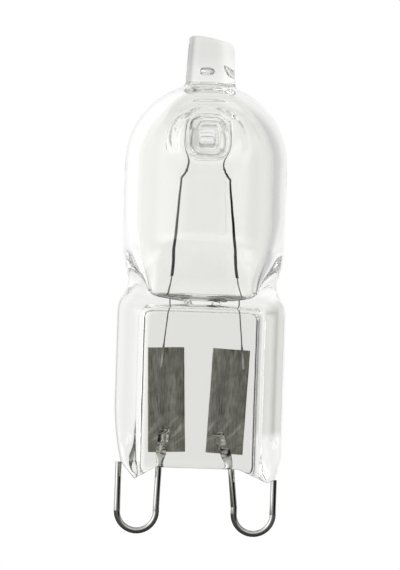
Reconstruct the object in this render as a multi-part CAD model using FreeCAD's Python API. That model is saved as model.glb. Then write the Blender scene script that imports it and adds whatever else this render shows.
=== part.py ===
"""Halogen capsule lamp: a quartz bulb with a pressed, flanged foot, a filament hung over a glass
bridge, two sealing foils and two looped contact pins.

Millimetres, +Z up along the lamp's axis. The origin is the middle of the foot's flat lower edge,
between the two pins. +X runs from the left pin to the right one, and -Y is the front."""

import FreeCAD
import Part
import math
import os

V = FreeCAD.Vector

# Contact pins: two loops of round wire, flattened where they are welded to the foils
PIN_SPACING = 9.0
PIN_LOOP_W = 3.0
PIN_WIRE_D = 0.5
PIN_DROP = 5.2
PIN_FREE_END_GAP = 0.1
PIN_LEG_STRAIGHT = 0.5
PIN_SEALED_STRAIGHT = 0.3
PIN_BLADE_W = 0.8
PIN_BLADE_T = 0.2
PIN_BLADE_L = 2.0
PIN_TAPER_L = 0.7
LEFT_PIN_ENTRY_X = -2.9
RIGHT_PIN_ENTRY_X = 2.68
LEFT_PIN_LEAN_DEG = 7.0
RIGHT_PIN_LEAN_DEG = 22.0

# Sealing foils: thin strips with feathered long edges, leaning out at the top
FOIL_W = 2.85
FOIL_L = 8.05
FOIL_T = 0.04
FOIL_FEATHER = 0.18
FOIL_EDGE_T = 0.012
FOIL_Z = 1.17
FOIL_LEAN_DEG = 2.3
FOIL_CLEAR = 0.1
LEFT_FOIL_X = -2.5
RIGHT_FOIL_X = 2.25

# Inner leads: fine wires from the foils to the filament, flattened on the foils
LEAD_D = 0.1
LEAD_BLADE_W = 0.16
LEAD_BLADE_T = 0.08
LEAD_BLADE_L = 1.6
LEAD_TAPER_L = 0.3
LEAD_LEAN_DEG = 5.6
LEAD_PLUG_L = 1.0

# Filament: a close-wound coil, drawn as the rod that its turns fill, open where the leads plug in
COIL_D = 0.3
COIL_FIT = 0.01
COIL_FOOT_RISE = 1.95
COIL_KNEE_X = 1.87
COIL_KNEE_H = 1.75
COIL_SHIN_H = 0.85
COIL_SEAT_GAP = 0.05
LEFT_COIL_FOOT_X = -2.35
RIGHT_COIL_FOOT_X = 2.65

# Quartz tube and dome
TUBE_D = 12.45
TUBE_WALL = 1.0
TUBE_H = 5.2

# Neck between the pressed foot and the tube: an S in side view, a waist in front view
NECK_H = 5.3
NECK_CLEAR = 0.1
WAIST_IN = 0.485
WAIST_RISE = 0.95
WAIST_LOW_H = 1.9
WAIST_HIGH_H = 2.75

# Pressed foot: a web between two thicker flanges, with pointed flange ends
FOOT_W = 12.9
FOOT_H = 12.9
FLANGE_T = 5.0
FLANGE_EDGE_R = 0.7
WEB_W = 9.0
WEB_T = 3.0
WEB_TOP_DROP = 0.55
WEB_TOP_R = 0.9
WEB_DRAFT_DEG = 34.0
SEAT_W = 6.4
FLANGE_DROP = 0.92
LEFT_POINT_X = -4.78
LEFT_CORNER_X = -5.88
LEFT_CORNER_Z = 0.42
LEFT_SIDE_Z = 2.7
RIGHT_POINT_X = 5.38
RIGHT_CORNER_X = 6.0
RIGHT_CORNER_Z = -0.65
RIGHT_SIDE_Z = 0.45
DIMPLE_D = 0.8
DIMPLE_DEPTH = 0.22
DIMPLE_X = 5.65
DIMPLE_Z = 2.1

# Gas space: round in the tube, pressed to a narrow floor above the foot
FLOOR_W = 8.4
FLOOR_RISE = 0.15
FLOOR_SIDE_H = 2.2

# Glass bridge: two dents, front and back, that meet in the middle of the dome
BRIDGE_D = 2.5
BRIDGE_RISE = 1.9
BRIDGE_WALL = 0.5
BRIDGE_GAP = 0.8
BRIDGE_EDGE_C = 0.5
DENT_W = 2.0
DENT_H = 2.9
DENT_GAP = 0.9
DENT_EDGE_C = 0.55
DENT_FLARE_D = 1.8
DENT_THROAT_D = 2.8
DENT_MOUTH_D = 5.8
DENT_FLARE_DEEP = 2.3
DENT_THROAT_DEEP = 1.4
DENT_MOUTH_DEEP = 0.45

# Exhaust tip: the stub of the tube that the bulb was filled through, pressed flat front and back
TIP_D = 3.92
TIP_TOP_D = 3.45
TIP_T = 2.8
TIP_H = 3.65
TIP_SHIFT = 0.12
TIP_SLOPE_DEG = 9.0
TIP_EDGE_R = 0.35

# Places worked out from the sizes
TUBE_R = TUBE_D / 2
GAS_R = TUBE_R - TUBE_WALL
NECK_TOP_Z = FOOT_H + NECK_H
DOME_Z = NECK_TOP_Z + TUBE_H
APEX_Z = DOME_Z + TUBE_R
FLOOR_Z = FOOT_H + FLOOR_RISE
WAIST_Z = FOOT_H + WAIST_RISE
BRIDGE_Z = DOME_Z + BRIDGE_RISE
FOIL_FRONT_Y = PIN_BLADE_T / 2
LEAD_Y = FOIL_FRONT_Y - LEAD_BLADE_T / 2
COIL_FOOT_Z = FOOT_H + COIL_FOOT_RISE
COIL_LOOP_R = BRIDGE_D / 2 + COIL_SEAT_GAP + COIL_D / 2
COIL_KNEE_Z = BRIDGE_Z - BRIDGE_D / 2 - COIL_KNEE_H
MARGIN = 1.0


def revolved(outline, axis):
    """A solid of revolution from a closed outline of edges, about an axis through the origin."""
    return Part.Face(Part.Wire(outline)).revolve(V(), axis, 360)


def round_dome(radius, low_z):
    """A tube of that radius from low_z up to the dome's centre, with a half ball on top."""
    low, rim = V(radius, 0, low_z), V(radius, 0, DOME_Z)
    slant = radius * math.sqrt(0.5)
    apex = V(0, 0, DOME_Z + radius)
    return revolved([
        Part.makeLine(V(0, 0, low_z), low),
        Part.makeLine(low, rim),
        Part.Arc(rim, V(slant, 0, DOME_Z + slant), apex).toShape(),
        Part.makeLine(apex, V(0, 0, low_z)),
    ], V(0, 0, 1))


def s_curve(start, end, inset):
    """Two arcs of (u, z) points from start up to end, upright at both, moved in by an inset."""
    (u0, z0), (u1, z1) = start, end
    run, rise = u1 - u0, z1 - z0
    side = math.copysign(1, run)
    radius = (run ** 2 + rise ** 2) / (4 * abs(run))
    turn = math.asin(rise / (2 * radius))
    low_r, high_r = radius + side * inset, radius - side * inset

    def low(angle):
        return u0 + side * (radius - low_r * math.cos(angle)), z0 + low_r * math.sin(angle)

    def high(angle):
        return u1 - side * (radius - high_r * math.cos(angle)), z1 - high_r * math.sin(angle)

    return [[low(0), low(turn / 2), low(turn)], [high(turn), high(turn / 2), high(0)]]


def mirrored_slab(side, across):
    """A slab through the axis. Its right side is lines and arcs of (u, z) points, the left mirrors it."""
    def edge(run):
        places = [across * u + V(0, 0, z) for u, z in run]
        return Part.makeLine(*places) if len(places) == 2 else Part.Arc(*places).toShape()

    left = [[(-u, z) for u, z in run[::-1]] for run in side[::-1]]
    (low_u, low_z), (high_u, high_z) = side[0][0], side[-1][-1]
    outline = side + [[(high_u, high_z), (-high_u, high_z)]] + left + [[(-low_u, low_z), (low_u, low_z)]]
    along = V(0, 0, 1).cross(across) * TUBE_D
    slab = Part.Face(Part.Wire([edge(run) for run in outline])).extrude(along * 2)
    slab.translate(along * -1)
    return slab


def side_view(inset):
    """The neck from the side: as thick as the foot below, opening in an S to the tube."""
    top = (TUBE_R + NECK_CLEAR, NECK_TOP_Z)
    arcs = s_curve((FLANGE_T / 2, FOOT_H), top, inset)
    wall_u = TUBE_R + NECK_CLEAR - inset
    return mirrored_slab(arcs + [[(wall_u, NECK_TOP_Z), (wall_u, APEX_Z + MARGIN)]], V(0, 1, 0))


def front_view():
    """The foot's and bulb's sides from the front, with a waist above the foot."""
    foot_u, tube_u = FOOT_W / 2 + NECK_CLEAR, TUBE_R + NECK_CLEAR
    waist = (TUBE_R - WAIST_IN, WAIST_Z)
    low, high = (foot_u, WAIST_Z - WAIST_LOW_H), (tube_u, WAIST_Z + WAIST_HIGH_H)
    below = [[(foot_u, -FLANGE_DROP - MARGIN), low]]
    above = [[high, (tube_u, APEX_Z + MARGIN)]]
    return mirrored_slab(below + s_curve(low, waist, 0) + s_curve(waist, high, 0) + above, V(1, 0, 0))


def bulb():
    """The tube and dome, with the neck pressed to the foot's thickness and waisted at its sides."""
    return round_dome(TUBE_R, FOOT_H).common(side_view(0)).common(front_view())


def gas_space():
    """The hollow in the bulb, pressed to a floor at its lower end, less the bridge."""
    return round_dome(GAS_R, FLOOR_Z).common(side_view(TUBE_WALL)).common(floor_outline()).cut(bridge())


def floor_outline():
    """The gas space's front outline as a slab: narrow at its floor, then sloping out to the tube."""
    side_z = FLOOR_Z + FLOOR_SIDE_H
    corners = [
        (-FLOOR_W / 2, FLOOR_Z), (FLOOR_W / 2, FLOOR_Z),
        (GAS_R + NECK_CLEAR, side_z), (GAS_R + NECK_CLEAR, APEX_Z),
        (-GAS_R - NECK_CLEAR, APEX_Z), (-GAS_R - NECK_CLEAR, side_z),
    ]
    return slab(corners, TUBE_D)


def slab(corners, thickness):
    """A plate with that front outline, given as (x, z) corners, half of it each side of Y = 0."""
    points = [V(x, -thickness / 2, z) for x, z in corners]
    return Part.Face(Part.makePolygon(points + points[:1])).extrude(V(0, thickness, 0))


def well(wall, gap, edge_c):
    """The front dent's well as a plug, taller than wide, with a bevelled end, grown by a wall."""
    radius, lift = DENT_W / 2 + wall, (DENT_H - DENT_W) / 2
    y = -gap / 2
    right, left = V(radius, y, 0), V(-radius, y, 0)
    up, down = V(0, y, lift), V(0, y, -lift)
    face = Part.Face(Part.Wire([
        Part.makeLine(right + V(0, 0, -lift), right + V(0, 0, lift)),
        Part.Arc(right + V(0, 0, lift), up + V(0, 0, radius), left + V(0, 0, lift)).toShape(),
        Part.makeLine(left + V(0, 0, lift), left + V(0, 0, -lift)),
        Part.Arc(left + V(0, 0, -lift), down + V(0, 0, -radius), right + V(0, 0, -lift)).toShape(),
    ]))
    plug = face.extrude(V(0, gap / 2 - TUBE_R - MARGIN, 0))
    plug = plug.makeChamfer(edge_c, [e for e in plug.Edges if e.BoundBox.YMin > y - edge_c / 2])
    return plug.fuse(flare(wall, lift))


def flare(wall, lift):
    """The well's mouth: a trumpet of two cones that opens to the front wall."""
    sizes = [
        (DENT_FLARE_D, DENT_FLARE_DEEP), (DENT_THROAT_D, DENT_THROAT_DEEP), (DENT_MOUTH_D, DENT_MOUTH_DEEP)
    ]
    steps = [V(d / 2 + wall, deep - TUBE_R, 0) for d, deep in sizes]
    end_y = -TUBE_R - DENT_MOUTH_D
    rim = steps + [V(steps[-1].x, end_y, 0)]
    trumpet = revolved(lines([V(0, rim[0].y, 0)] + rim + [V(0, end_y, 0), V(0, rim[0].y, 0)]), V(0, 1, 0))
    trumpet.translate(V(0, 0, lift))
    return trumpet


def both_sides(front):
    """A front dent's shape and its mirror at the back, at the bridge's height."""
    front.translate(V(0, 0, BRIDGE_Z))
    return [front, front.mirror(V(), V(0, 1, 0))]


def bridge():
    """The quartz round both dents, with the post between their floors."""
    post = Part.makeCylinder(BRIDGE_D / 2, 2 * BRIDGE_GAP, V(0, -BRIDGE_GAP, BRIDGE_Z), V(0, 1, 0))
    return post.fuse(both_sides(well(BRIDGE_WALL, BRIDGE_GAP, BRIDGE_EDGE_C)))


def exhaust_tip():
    """The stub on the dome: a tapered round with two pressed flats and a slanting, rounded end."""
    low_z = APEX_Z - TUBE_WALL
    top_z = APEX_Z + TIP_H
    stub = Part.makeCone(TIP_D / 2, TIP_TOP_D / 2, top_z - low_z, V(TIP_SHIFT, 0, low_z))
    flats = Part.makeBox(2 * TIP_D, TIP_T, 2 * TIP_H, V(-TIP_D, -TIP_T / 2, low_z))
    waste = Part.makeBox(2 * TIP_D, 2 * TIP_D, TIP_H, V(0, -TIP_D, 0))
    waste.rotate(V(), V(0, 1, 0), TIP_SLOPE_DEG)
    waste.translate(V(TIP_SHIFT - TIP_TOP_D / 2 - TIP_EDGE_R, 0, top_z))
    stub = stub.common(flats).cut(waste)
    top = max(stub.Faces, key=lambda f: f.CenterOfMass.z)
    return stub.makeFillet(TIP_EDGE_R, top.Edges)


def foot():
    """The pressed foot's block: rounded edges, a flat seat and pointed flange ends."""
    low_z = -FLANGE_DROP - MARGIN
    block = Part.makeBox(FOOT_W, FLANGE_T, FOOT_H - low_z, V(-FOOT_W / 2, -FLANGE_T / 2, low_z))
    upright = [e for e in block.Edges if abs(e.tangentAt(e.FirstParameter).z) > 0.9]
    return block.makeFillet(FLANGE_EDGE_R, upright).common(foot_outline()).common(front_view())


def foot_outline():
    """The foot's front outline as a slab, with sloped flange ends and cut-off lower corners."""
    side = FOOT_W / 2
    top = FOOT_H + MARGIN
    return slab([
        (-SEAT_W / 2, 0), (SEAT_W / 2, 0),
        (RIGHT_POINT_X, -FLANGE_DROP), (RIGHT_CORNER_X, RIGHT_CORNER_Z), (side, RIGHT_SIDE_Z),
        (side, top), (-side, top),
        (-side, LEFT_SIDE_Z), (LEFT_CORNER_X, LEFT_CORNER_Z), (LEFT_POINT_X, -FLANGE_DROP),
    ], 2 * FLANGE_T)


def jaw_hollow():
    """What the press jaw leaves in front of the web, with drafted sides and a rounded top."""
    depth = TUBE_R
    floor_y = -WEB_T / 2
    low_z = -FLANGE_DROP - MARGIN
    top_z = FOOT_H - WEB_TOP_DROP
    half = WEB_W / 2
    spread = half + depth * math.tan(math.radians(WEB_DRAFT_DEG))
    corners = [
        V(-half, floor_y, low_z), V(half, floor_y, low_z),
        V(spread, floor_y - depth, low_z), V(-spread, floor_y - depth, low_z),
    ]
    hollow = Part.Face(Part.makePolygon(corners + corners[:1])).extrude(V(0, 0, top_z - low_z))
    inner_top = [
        e for e in hollow.Edges
        if e.BoundBox.ZMin > top_z - FLANGE_DROP and e.BoundBox.YMin > floor_y - depth / 2
    ]
    return hollow.makeFillet(WEB_TOP_R, inner_top)


def flange_dimples():
    """Small pointed dents, one on each flange, front and back, for a holder's spring."""
    face_y = FLANGE_T / 2
    return [
        Part.makeCone(DIMPLE_D / 2, 0, DIMPLE_DEPTH, V(x, side * face_y, DIMPLE_Z), V(0, -side, 0))
        for x in (-DIMPLE_X, DIMPLE_X) for side in (-1, 1)
    ]


def envelope(inserts):
    """The quartz: bulb and foot in one, hollowed, dented and closed round the inserts."""
    jaw = jaw_hollow()
    pressed = [jaw, jaw.mirror(V(), V(0, 1, 0))] + flange_dimples()
    outside = bulb().fuse([foot(), exhaust_tip()]).cut(pressed)
    dents = both_sides(well(0, DENT_GAP, DENT_EDGE_C))
    return outside.cut(dents + [gas_space()]).cut(inserts)


def lines(points):
    """Straight edges through the points."""
    return [Part.makeLine(p, q) for p, q in zip(points, points[1:])]


def swept(path_edges, diameter):
    """A round rod along a path that starts on a straight run, mitred where the path has a corner."""
    first = path_edges[0]
    start = first.valueAt(first.FirstParameter)
    heading = first.tangentAt(first.FirstParameter)
    ring = Part.Wire(Part.makeCircle(diameter / 2, start, heading))
    right_corners = 1
    return Part.Wire(path_edges).makePipeShell([ring], True, False, right_corners)


def flattened_end(start, heading, wire_d, width, thickness, taper, length):
    """A wire's end hammered flat: a taper from the round wire, then a blade flat to the front."""
    across = heading.cross(V(0, 1, 0)).normalize()
    radius = wire_d / 2

    def rim(angle):
        a = math.radians(angle)
        return start + across * (radius * math.cos(a)) + V(0, radius * math.sin(a), 0)

    turns = [(a, a + 45, a + 90) for a in (45, 135, 225, 315)]
    ring = Part.Wire([Part.Arc(rim(a), rim(b), rim(c)).toShape() for a, b, c in turns])
    flat = start + heading * taper
    side, face = across * (width / 2), V(0, thickness / 2, 0)
    corners = [flat + side + face, flat - side + face, flat - side - face, flat + side - face]
    blade_end = Part.makePolygon(corners + corners[:1])
    blade = Part.Face(blade_end).extrude(heading * length)
    return Part.makeLoft([ring, blade_end], True, True).fuse(blade)


def leaning(degrees):
    """Upward direction in the XZ plane, leaning to +X by that angle."""
    return V(math.sin(math.radians(degrees)), 0, math.cos(math.radians(degrees)))


def contact_pin(sign, entry_x, lean, corner_z):
    """One pin: a free leg, a half-round loop, a leg into the foot and a flat end on the foil."""
    inner_x = sign * (PIN_SPACING - PIN_LOOP_W) / 2
    outer_x = sign * (PIN_SPACING + PIN_LOOP_W) / 2
    loop_r = PIN_LOOP_W / 2
    loop_z = loop_r + PIN_WIRE_D / 2 - PIN_DROP
    slope = leaning(-sign * lean)
    clear = FOIL_CLEAR + PIN_BLADE_W / 2 * abs(slope.x)
    run = PIN_TAPER_L + PIN_SEALED_STRAIGHT
    bend = V(entry_x, 0, FOIL_Z - clear - run * slope.z)
    taper_start = bend + slope * PIN_SEALED_STRAIGHT
    loop_start, loop_end = V(outer_x, 0, loop_z), V(inner_x, 0, loop_z)
    loop = Part.Arc(loop_start, V(sign * PIN_SPACING / 2, 0, loop_z - loop_r), loop_end).toShape()
    free_end = V(outer_x, 0, corner_z - PIN_FREE_END_GAP)
    leg = lines([loop_end, loop_end + V(0, 0, PIN_LEG_STRAIGHT), bend, taper_start])
    wire = swept(lines([free_end, loop_start]) + [loop] + leg, PIN_WIRE_D)
    blade = flattened_end(
        taper_start, slope, PIN_WIRE_D, PIN_BLADE_W, PIN_BLADE_T, PIN_TAPER_L, PIN_BLADE_L
    )
    return wire.fuse(blade)


def seal_foil(sign, x):
    """One foil: flat, with both long edges thinned, leaning out at the top."""
    half, flat = FOIL_W / 2, FOIL_W / 2 - FOIL_FEATHER
    middle_y = FOIL_FRONT_Y + FOIL_T / 2
    outline = [
        (-half, -FOIL_EDGE_T / 2), (-flat, -FOIL_T / 2), (flat, -FOIL_T / 2), (half, -FOIL_EDGE_T / 2),
        (half, FOIL_EDGE_T / 2), (flat, FOIL_T / 2), (-flat, FOIL_T / 2), (-half, FOIL_EDGE_T / 2),
    ]
    points = [V(u, middle_y + w, -FOIL_L / 2) for u, w in outline]
    foil = Part.Face(Part.makePolygon(points + points[:1])).extrude(V(0, 0, FOIL_L))
    foil.rotate(V(), V(0, 1, 0), sign * FOIL_LEAN_DEG)
    foil.translate(V(x, 0, FOIL_Z + FOIL_L / 2))
    return foil


def coil_leg(sign, foot_x):
    """The filament leg's foot and its upward direction."""
    foot_point = V(foot_x, LEAD_Y, COIL_FOOT_Z)
    knee = V(sign * COIL_KNEE_X, LEAD_Y, COIL_KNEE_Z)
    return foot_point, (knee - foot_point).normalize()


def inner_lead(sign, foot_x):
    """One lead: a flat end on the foil, a straight run up through the seal, a plug in the coil."""
    coil_foot, up = coil_leg(sign, foot_x)
    bend = coil_foot - up * ((COIL_FOOT_Z - FOOT_H) / up.z)
    down = leaning(-sign * LEAD_LEAN_DEG) * -1
    run = (FOOT_H - FOIL_Z - FOIL_L - FOIL_CLEAR) / -down.z - LEAD_TAPER_L
    taper_start = bend + down * run
    path = lines([taper_start, bend, coil_foot + up * LEAD_PLUG_L])
    blade = flattened_end(
        taper_start, down, LEAD_D, LEAD_BLADE_W, LEAD_BLADE_T, LEAD_TAPER_L, LEAD_BLADE_L
    )
    return swept(path, LEAD_D).fuse(blade)


def filament():
    """The coil: up from one lead, in at the knee, over the bridge and down to the other lead."""
    def leg(sign, foot_x):
        coil_foot, _ = coil_leg(sign, foot_x)
        return lines([
            coil_foot,
            V(sign * COIL_KNEE_X, LEAD_Y, COIL_KNEE_Z),
            V(sign * COIL_LOOP_R, LEAD_Y, COIL_KNEE_Z + COIL_SHIN_H),
            V(sign * COIL_LOOP_R, LEAD_Y, BRIDGE_Z),
        ])

    left, right = leg(-1, LEFT_COIL_FOOT_X), leg(1, RIGHT_COIL_FOOT_X)
    over = V(0, LEAD_Y, BRIDGE_Z + COIL_LOOP_R)
    loop = Part.Arc(V(-COIL_LOOP_R, LEAD_Y, BRIDGE_Z), over, V(COIL_LOOP_R, LEAD_Y, BRIDGE_Z)).toShape()
    sockets = []
    for sign, foot_x in ((-1, LEFT_COIL_FOOT_X), (1, RIGHT_COIL_FOOT_X)):
        coil_foot, up = coil_leg(sign, foot_x)
        sockets.append(Part.makeCylinder(LEAD_D / 2 + COIL_FIT, LEAD_PLUG_L + COIL_FIT, coil_foot, up))
    return swept(left + [loop] + right[::-1], COIL_D).cut(sockets)


def main():
    os.makedirs("parts", exist_ok=True)
    nodes = {
        "left_contact_pin": contact_pin(-1, LEFT_PIN_ENTRY_X, LEFT_PIN_LEAN_DEG, LEFT_CORNER_Z),
        "right_contact_pin": contact_pin(1, RIGHT_PIN_ENTRY_X, RIGHT_PIN_LEAN_DEG, RIGHT_CORNER_Z),
        "left_seal_foil": seal_foil(-1, LEFT_FOIL_X),
        "right_seal_foil": seal_foil(1, RIGHT_FOIL_X),
        "left_inner_lead": inner_lead(-1, LEFT_COIL_FOOT_X),
        "right_inner_lead": inner_lead(1, RIGHT_COIL_FOOT_X),
    }
    inserts = list(nodes.values())
    nodes["filament"] = filament()
    nodes["quartz_envelope"] = envelope(inserts)
    for name, shape in nodes.items():
        print(name, shape.isValid(), len(shape.Solids), round(shape.Volume, 4))
        shape.exportStep("parts/" + name + ".step")


main()
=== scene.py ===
# %% [markdown]
# # A halogen capsule lamp
# A small quartz bulb: a domed tube pressed flat at its foot, a coiled filament hung over a glass
# bridge, two foils sealed in the foot and two looped wires to plug it in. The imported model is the
# fixed frame. The wires keep their CAD shape and get a finish; the quartz, the coil and the foils
# are made again here, because their looks come from detail that the plain solids leave out.

# %% Load the frame
import math
import bpy
import numpy as np
from mathutils import Matrix, Vector


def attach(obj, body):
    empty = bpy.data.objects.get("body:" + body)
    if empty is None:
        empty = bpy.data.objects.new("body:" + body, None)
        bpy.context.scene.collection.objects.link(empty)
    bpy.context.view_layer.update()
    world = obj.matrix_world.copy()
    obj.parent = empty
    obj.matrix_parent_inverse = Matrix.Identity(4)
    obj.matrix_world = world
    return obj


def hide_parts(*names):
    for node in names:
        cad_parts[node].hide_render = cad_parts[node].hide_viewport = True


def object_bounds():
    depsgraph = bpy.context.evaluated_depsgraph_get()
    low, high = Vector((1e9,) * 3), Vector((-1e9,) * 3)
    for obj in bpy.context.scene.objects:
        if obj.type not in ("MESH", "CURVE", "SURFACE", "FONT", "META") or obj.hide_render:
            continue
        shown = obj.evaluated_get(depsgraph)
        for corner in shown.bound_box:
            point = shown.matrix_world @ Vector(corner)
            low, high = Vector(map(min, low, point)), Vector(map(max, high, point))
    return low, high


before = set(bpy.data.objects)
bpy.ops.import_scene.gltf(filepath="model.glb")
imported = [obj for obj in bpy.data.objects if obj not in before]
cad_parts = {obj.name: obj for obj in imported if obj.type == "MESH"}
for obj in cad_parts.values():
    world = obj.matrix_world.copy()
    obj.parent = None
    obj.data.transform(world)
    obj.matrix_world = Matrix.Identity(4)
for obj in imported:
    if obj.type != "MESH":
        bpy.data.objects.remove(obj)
cad_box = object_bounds()
print("CAD box in mm:", [[round(c * 1000, 2) for c in corner] for corner in cad_box])

# %% [markdown]
# ## Small helpers
# All sizes below are in millimetres, as on a drawing, and MM turns them into Blender's metres.
# Colours are written as sRGB hex values and turned into the linear values that shaders expect.
# One function adds a node, sets its fields and makes its links, so a material reads as a list.

# %% Helpers
MM = 0.001


def per(size):
    """The scale of a pattern that repeats about once in this many millimetres."""
    return 1 / (size * MM)


def linear(hex_colour):
    """An sRGB hex colour as linear red, green, blue and alpha."""
    channels = [int(hex_colour[i:i + 2], 16) / 255 for i in (0, 2, 4)]
    return [c / 12.92 if c <= 0.04045 else ((c + 0.055) / 1.055) ** 2.4 for c in channels] + [1.0]


def add(tree, kind, links=(), values=(), **fields):
    """Adds a node. Links are (own input, other node, its output), values are (own input, value)."""
    node = tree.nodes.new(kind)
    for name, value in fields.items():
        setattr(node, name, value)
    for name, value in values:
        node.inputs[name].default_value = value
    for name, other, output in links:
        tree.links.new(other.outputs[output], node.inputs[name])
    return node


def new_material(name):
    """An empty material: the material, its tree and a principled shader wired to its output."""
    material = bpy.data.materials.new(name)
    material.use_nodes = True
    tree = material.node_tree
    tree.nodes.clear()
    shader = add(tree, "ShaderNodeBsdfPrincipled")
    add(tree, "ShaderNodeOutputMaterial", [("Surface", shader, "BSDF")])
    return material, tree, shader


def show(name, mesh, material):
    """Puts a finished mesh into the scene as one object at the origin."""
    piece = bpy.data.objects.new(name, mesh)
    bpy.context.scene.collection.objects.link(piece)
    mesh.materials.clear()
    mesh.materials.append(material)
    return piece


# %% [markdown]
# ## The quartz envelope as a distance field
# The real envelope is one piece of fused quartz, worked while hot: a tube with a blown dome, a neck
# and foot squeezed between two jaws, and two dents pushed in until they meet. Hot quartz has no
# sharp edges, so every form should flow into the next. Boolean cuts would leave creases, and
# subdivision needs a clean cage that a shape like this doesn't have. A distance field needs
# neither: each form is a formula for the distance to its surface, and a smooth minimum or maximum
# joins two of them with a fillet of a known size. The outline has the sizes of the CAD source,
# apart from the end of the tip.

# %% Joining two forms
def smooth_max(a, b, blend):
    """The larger of two distances, rounded over where they are closer than blend."""
    near = np.maximum(blend - np.abs(a - b), 0) / blend
    return np.maximum(a, b) + near * near * blend / 4


def smooth_min(a, b, blend):
    """The smaller of two distances, rounded in the same way."""
    return -smooth_max(-a, -b, blend)


def ease(value, low, high):
    """A smooth step from 0 at low to 1 at high."""
    share = np.clip((value - low) / (high - low), 0, 1)
    return share * share * (3 - 2 * share)


# %% The bulb, the neck and the foot's block
TUBE_R, DOME_Z = 6.225, 23.4
FOOT_HALF_W, FLANGE_HALF_T, FOOT_TOP_Z = 6.45, 2.5, 12.9
WAIST_Z, WAIST_IN, WAIST_BELOW, WAIST_ABOVE = 13.85, 0.6, 0.9, 1.5
SHOULDER_LOW_Z, SHOULDER_TOP_Z, NECK_TOP_Z = 12.0, 15.0, 18.2
ROUND_POWER, OBLONG_POWER, OBLONG_Z, ROUND_Z = 2, 9, 12.5, 17.0


def half_width(z):
    """The front view: a little wider at the foot, with a waist above it."""
    waist = np.exp(-((z - WAIST_Z) / np.where(z < WAIST_Z, WAIST_BELOW, WAIST_ABOVE)) ** 2)
    narrowing = (FOOT_HALF_W - TUBE_R) * ease(z, SHOULDER_LOW_Z, SHOULDER_TOP_Z)
    return FOOT_HALF_W - narrowing - WAIST_IN * waist


def half_depth(z):
    """The side view: flat at the foot, opening in an S to the tube."""
    return FLANGE_HALF_T + (TUBE_R - FLANGE_HALF_T) * ease(z, FOOT_TOP_Z, NECK_TOP_Z)


def rate(view, z, reach=0.01):
    """How fast a view's half size grows with height."""
    return (view(z + reach) - view(z - reach)) / (2 * reach)


def body(x, y, z):
    """Round at the tube and a rounded oblong at the foot: the ring's power goes from 2 to 9."""
    oblong = (1 - np.clip((z - OBLONG_Z) / (ROUND_Z - OBLONG_Z), 0, 1)) ** 2
    power = ROUND_POWER + (OBLONG_POWER - ROUND_POWER) * oblong
    wide, deep = half_width(z), half_depth(z)
    u, v = np.maximum(np.abs(x) / wide, 0.001), np.maximum(np.abs(y) / deep, 0.001)
    ring = (u ** power + v ** power) ** (1 / power)
    by_x, by_y = (u / ring) ** (power - 1) / wide, (v / ring) ** (power - 1) / deep
    by_z = by_x * u * rate(half_width, z) + by_y * v * rate(half_depth, z)
    steep = np.sqrt(by_x ** 2 + by_y ** 2 + by_z ** 2)
    domed_tube = np.sqrt(x * x + y * y + np.maximum(z - DOME_Z, 0) ** 2) - TUBE_R
    return np.where(z > NECK_TOP_Z, domed_tube, (ring - 1) / steep)


# %% The pressed foot: lower edge, web and dimples
FOOT_OUTLINE = [
    (-3.2, 0.0), (3.2, 0.0), (5.38, -0.92), (6.0, -0.65), (6.45, 0.45), (7.6, 2.0),
    (7.6, 40.0), (-7.6, 40.0), (-7.6, 7.3), (-5.88, 0.42), (-4.78, -0.92),
]
WEB_HALF_T, WEB_HALF_W, WEB_TOP_Z, WEB_DRAFT = 1.5, 4.5, 12.35, math.radians(34)
EDGE_ROUND, JAW_CORNER, WEB_CORNER, DIMPLE_ROUND = 0.6, 0.9, 0.5, 0.12
DIMPLE_R, DIMPLE_X, DIMPLE_Y, DIMPLE_Z = 0.57, 5.65, 2.85, 2.1


def polygon_distance(u, w, corners):
    """Signed distance in a plane to a closed outline, negative inside."""
    nearest = np.full(u.shape, 1e9)
    inside = np.zeros(u.shape, bool)
    for (u0, w0), (u1, w1) in zip(corners, corners[1:] + corners[:1]):
        du, dw = u1 - u0, w1 - w0
        share = np.clip(((u - u0) * du + (w - w0) * dw) / (du * du + dw * dw), 0, 1)
        nearest = np.minimum(nearest, np.hypot(u - u0 - share * du, w - w0 - share * dw))
        crosses = (w0 > w) != (w1 > w)
        side = u < u0 + (w - w0) * du / (dw if dw else 1e-9)
        inside ^= crosses & side
    return np.where(inside, -nearest, nearest)


def pressed_body(x, y, z):
    """The body with the foot's lower edge, the web pressed in on both faces, and the dimples."""
    aside, out = np.abs(x), np.abs(y)
    block = smooth_max(body(x, y, z), polygon_distance(x, z, FOOT_OUTLINE), EDGE_ROUND)
    wall = (aside - WEB_HALF_W) * math.cos(WEB_DRAFT) - (out - WEB_HALF_T) * math.sin(WEB_DRAFT)
    jaw = smooth_max(smooth_max(wall, z - WEB_TOP_Z, JAW_CORNER), WEB_HALF_T - out, WEB_CORNER)
    block = smooth_max(block, -jaw, EDGE_ROUND)
    dimple = np.sqrt((aside - DIMPLE_X) ** 2 + (out - DIMPLE_Y) ** 2 + (z - DIMPLE_Z) ** 2) - DIMPLE_R
    return smooth_max(block, -dimple, DIMPLE_ROUND)


# %% The exhaust tip: a tapered stub with two flats and a slanting end
TIP_X, TIP_LOW_Z, TIP_TOP_Z = 0.12, 28.0, 33.22
TIP_R, TIP_R_Z, TIP_TAPER, TIP_HALF_T = 1.96, 28.625, 0.0505, 1.4
SLANT, SLANT_X, SLANT_Z = math.radians(17), -0.15, 33.2
FLAT_ROUND, SLANT_ROUND, TIP_ROUND = 0.6, 0.4, 0.35


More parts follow.
